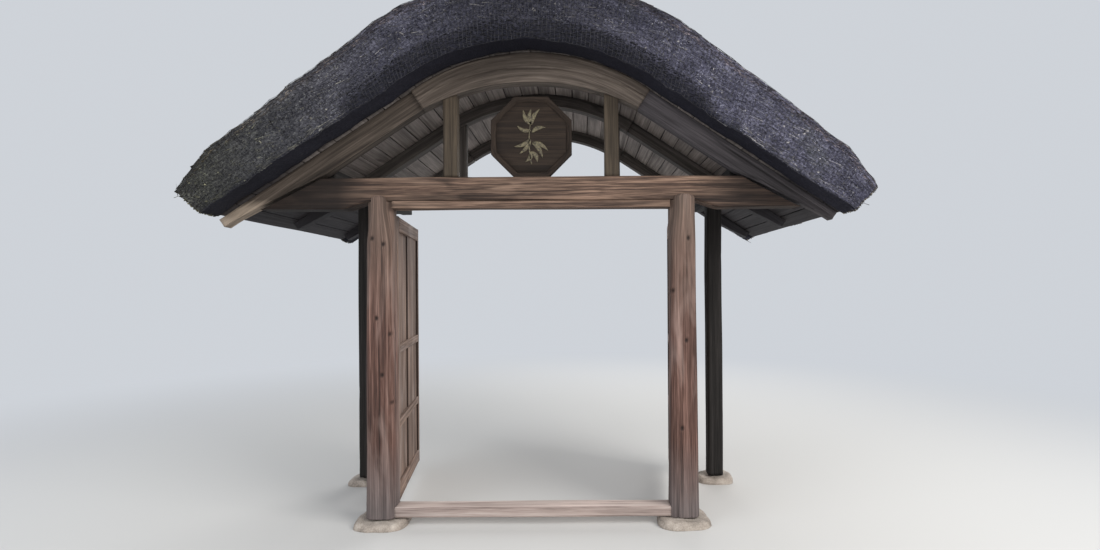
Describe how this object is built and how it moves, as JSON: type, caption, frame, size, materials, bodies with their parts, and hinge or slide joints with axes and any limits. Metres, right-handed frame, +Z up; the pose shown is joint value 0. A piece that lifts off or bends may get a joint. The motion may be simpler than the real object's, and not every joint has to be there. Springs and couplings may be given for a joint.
{
  "type": "japanese garden gate",
  "caption": "Garden gate with two main posts, a cross beam, a curved thatched roof on arched ribs and two swinging board leaves.",
  "frame": {"origin": "on the ground under the middle of the roof", "axes": "+X along the cross beam, +Y through the gate away from the viewer, +Z up"},
  "size_m": [3.91, 2.06, 3.1248],
  "materials": {
    "main_timber": "weathered squared log, brown grey",
    "rear_timber": "dark weathered timber in shade",
    "rib_timber": "weathered grey brown timber",
    "deck_boards": "grey brown boards",
    "leaf_timber": "weathered grey boards",
    "plaque_wood": "dark oiled wood",
    "thatch": "aged dark thatch under a fine net",
    "base_stone": "pale worn stone",
    "black_iron": "black iron"
  },
  "bodies": {
    "frame": {"main_post_left": "main_timber", "main_post_right": "main_timber", "sill": "main_timber", "lintel": "main_timber", "front_beam": "main_timber", "strut_left": "main_timber", "strut_right": "main_timber", "rear_post_left": "rear_timber", "rear_post_right": "rear_timber", "purlin_left": "rear_timber", "purlin_right": "rear_timber", "rear_tie": "rear_timber", "rear_strut_left": "rear_timber", "rear_strut_right": "rear_timber", "main_stone_left": "base_stone", "main_stone_right": "base_stone", "rear_stone_left": "base_stone", "rear_stone_right": "base_stone", "front_rib_crown": "rib_timber", "front_rib_left": "rib_timber", "front_rib_right": "rib_timber", "middle_rib_crown": "rear_timber", "middle_rib_left": "rear_timber", "middle_rib_right": "rear_timber", "rear_rib_crown": "rear_timber", "rear_rib_left": "rear_timber", "rear_rib_right": "rear_timber", "deck_crown": "deck_boards", "deck_left": "deck_boards", "deck_right": "deck_boards", "thatch_crown": "thatch", "thatch_left": "thatch", "thatch_right": "thatch", "plaque_board": "plaque_wood", "plaque_rim": "plaque_wood", "hinge_hooks": "black_iron"},
    "leaf_left": {"leaf_left_stiles": "leaf_timber", "leaf_left_rails": "leaf_timber", "leaf_left_boards": "leaf_timber", "leaf_left_hinge_eyes": "black_iron"},
    "leaf_right": {"leaf_right_stiles": "leaf_timber", "leaf_right_rails": "leaf_timber", "leaf_right_boards": "leaf_timber", "leaf_right_hinge_eyes": "black_iron"}
  },
  "joints": [
    {"name": "left_leaf_swing", "type": "hinge", "parent": "frame", "child": "leaf_left", "pos_m": [-0.87, -0.6655, 0], "axis": [0, 0, 1], "range_deg": [-98, 12]},
    {"name": "right_leaf_swing", "type": "hinge", "parent": "frame", "child": "leaf_right", "pos_m": [0.87, -0.6655, 0], "axis": [0, 0, -1], "range_deg": [-98, 12]}
  ]
}
